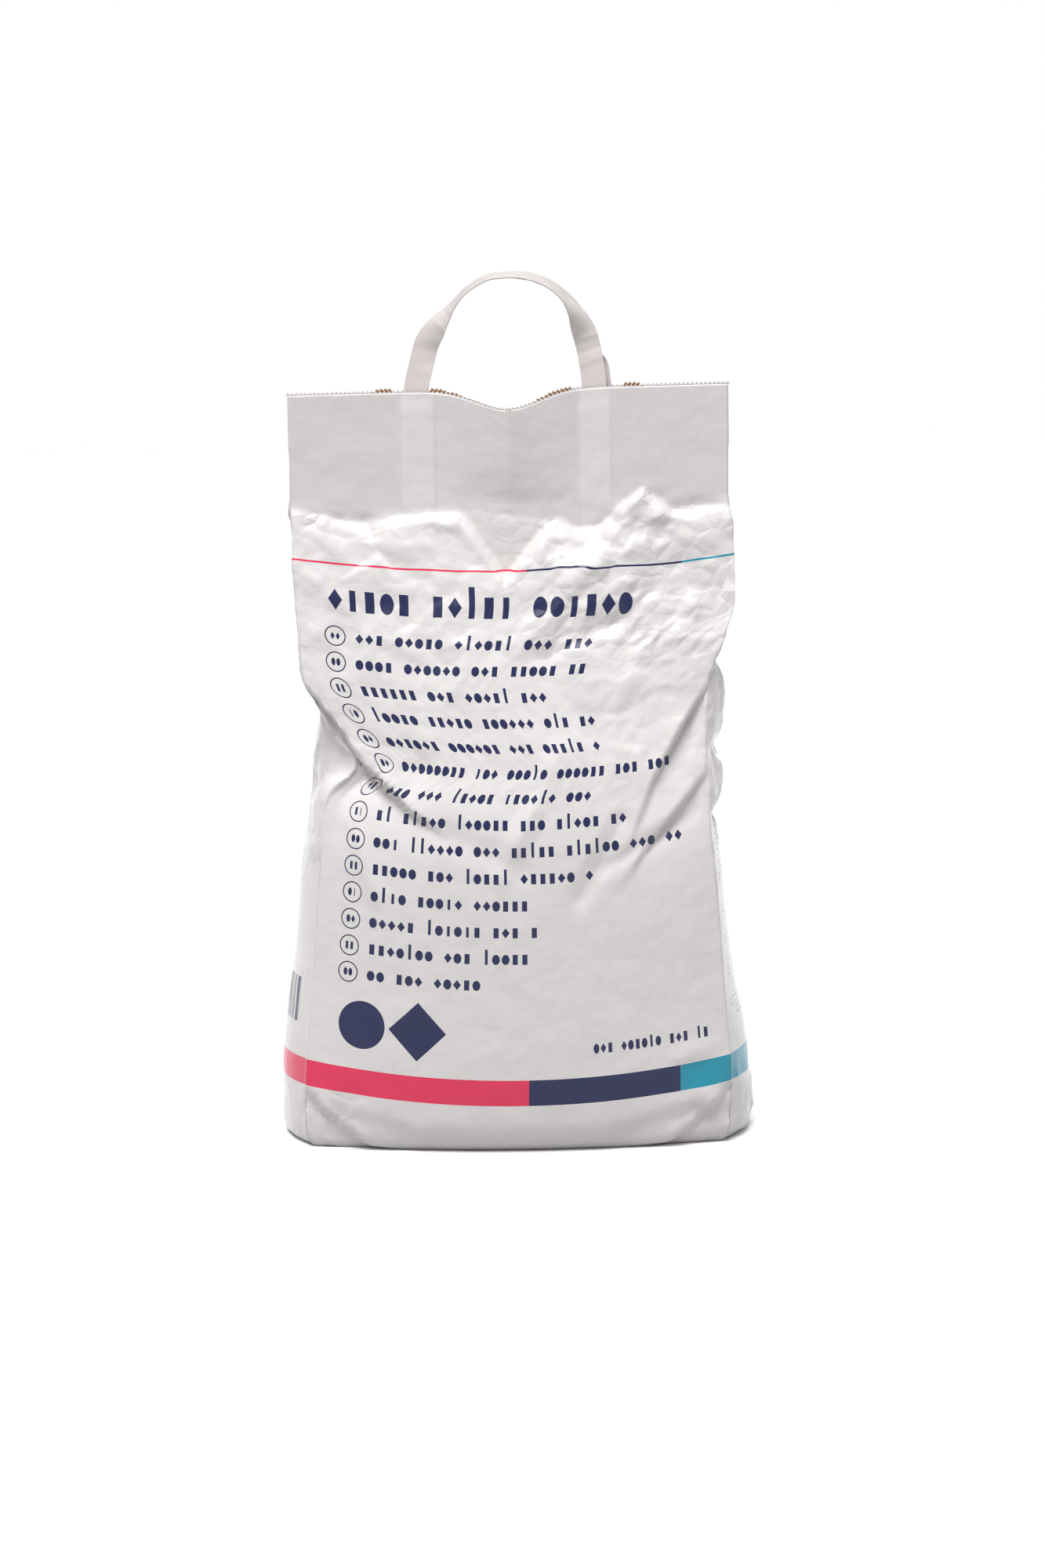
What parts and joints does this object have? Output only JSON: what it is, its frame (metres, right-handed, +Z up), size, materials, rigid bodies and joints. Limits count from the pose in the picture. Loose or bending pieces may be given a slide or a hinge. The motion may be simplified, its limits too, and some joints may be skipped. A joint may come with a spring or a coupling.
{
  "type": "cat litter bag",
  "caption": "Filled gusseted paper sack that stands upright, with a flat pinked flap, a kraft lining at the mouth and a pair of paper tape carrying handles.",
  "frame": {"origin": "centre of the base, on the surface that the sack stands on", "axes": "+Z up, -Y towards the front panel, +X to the right of the front panel as seen from the front"},
  "size_m": [0.2983, 0.1436, 0.5366],
  "materials": {
    "coated_paper": "white coated sack paper with a soft gloss, printed in red, navy and teal",
    "kraft_paper": "unbleached brown kraft paper, matt",
    "paper_tape": "off-white folded paper tape, matt with fine creases"
  },
  "bodies": {
    "root": {"paper_sack": "coated_paper", "kraft_inner_ply": "kraft_paper", "front_handle": "paper_tape", "back_handle": "paper_tape"}
  },
  "joints": []
}
